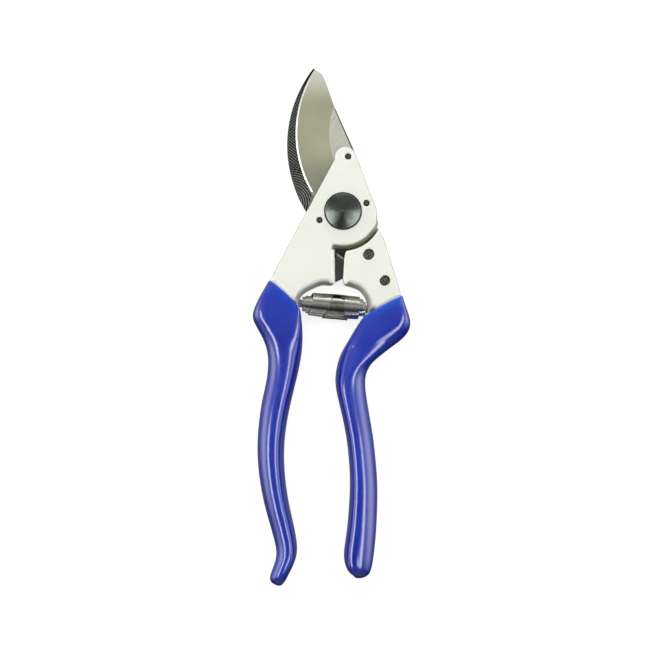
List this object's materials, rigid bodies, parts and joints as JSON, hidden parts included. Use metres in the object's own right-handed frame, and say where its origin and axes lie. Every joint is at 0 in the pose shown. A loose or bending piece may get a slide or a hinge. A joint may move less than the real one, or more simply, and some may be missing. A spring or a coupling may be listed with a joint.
{
  "type": "pruning shears",
  "caption": "Bypass pruning shears with curved blade over a hooked counter blade, painted cast handles, dipped plastic grips, double-cone strip spring and rear thumb catch.",
  "frame": {"origin": "the pivot's axis at the plane the closed shears lie on, the flat underside of the pivot nut", "axes": "+Z along the pivot's axis, out of the plane the shears lie on, towards the domed bolt head; +Y towards the blade tip; +X towards the hook side's handle"},
  "size_m": [0.0642, 0.2101, 0.0199],
  "materials": {
    "painted_casting": "satin cream-grey baked paint on cast aluminium",
    "blue_pvc": "glossy dipped plastic, royal blue",
    "ground_steel": "ground and lightly brushed blade steel",
    "black_oxide_steel": "black oxide, semi-gloss",
    "dark_steel": "oiled dark steel",
    "zinc_steel": "zinc-plated steel",
    "spring_steel": "polished spring steel strip",
    "black_rubber": "matte",
    "black_plastic": "ribbed, matte"
  },
  "bodies": {
    "hook_side": {"hook_handle_frame": "painted_casting", "hook_handle_grip": "blue_pvc", "hook_blade": "black_oxide_steel", "hook_rivets": "dark_steel", "pivot_bolt": "black_oxide_steel", "pivot_washer": "black_oxide_steel", "pivot_nut": "black_oxide_steel", "nut_lock_plate": "zinc_steel", "lock_plate_screw": "dark_steel", "stop_bumper": "black_rubber", "volute_spring": "spring_steel", "spring_stud_right": "zinc_steel", "catch_pin": "zinc_steel"},
    "blade_side": {"blade_handle_frame": "painted_casting", "blade_handle_grip": "blue_pvc", "cutting_blade": "ground_steel", "blade_pins": "dark_steel", "pivot_bush": "zinc_steel", "spring_stud_left": "zinc_steel", "catch_screw": "dark_steel", "catch_washer": "zinc_steel"},
    "catch": {"thumb_catch": "zinc_steel", "thumb_pad": "black_plastic"}
  },
  "joints": [
    {"name": "pivot", "type": "hinge", "parent": "hook_side", "child": "blade_side", "pos_m": [0, 0, 0.01], "axis": [0, 0, -1], "range_deg": [0, 28], "deforming": ["volute_spring"]},
    {"name": "catch_turn", "type": "hinge", "parent": "blade_side", "child": "catch", "pos_m": [-0.012, -0.021, 0.002], "axis": [0, 0, -1], "range_deg": [0, 40]}
  ]
}
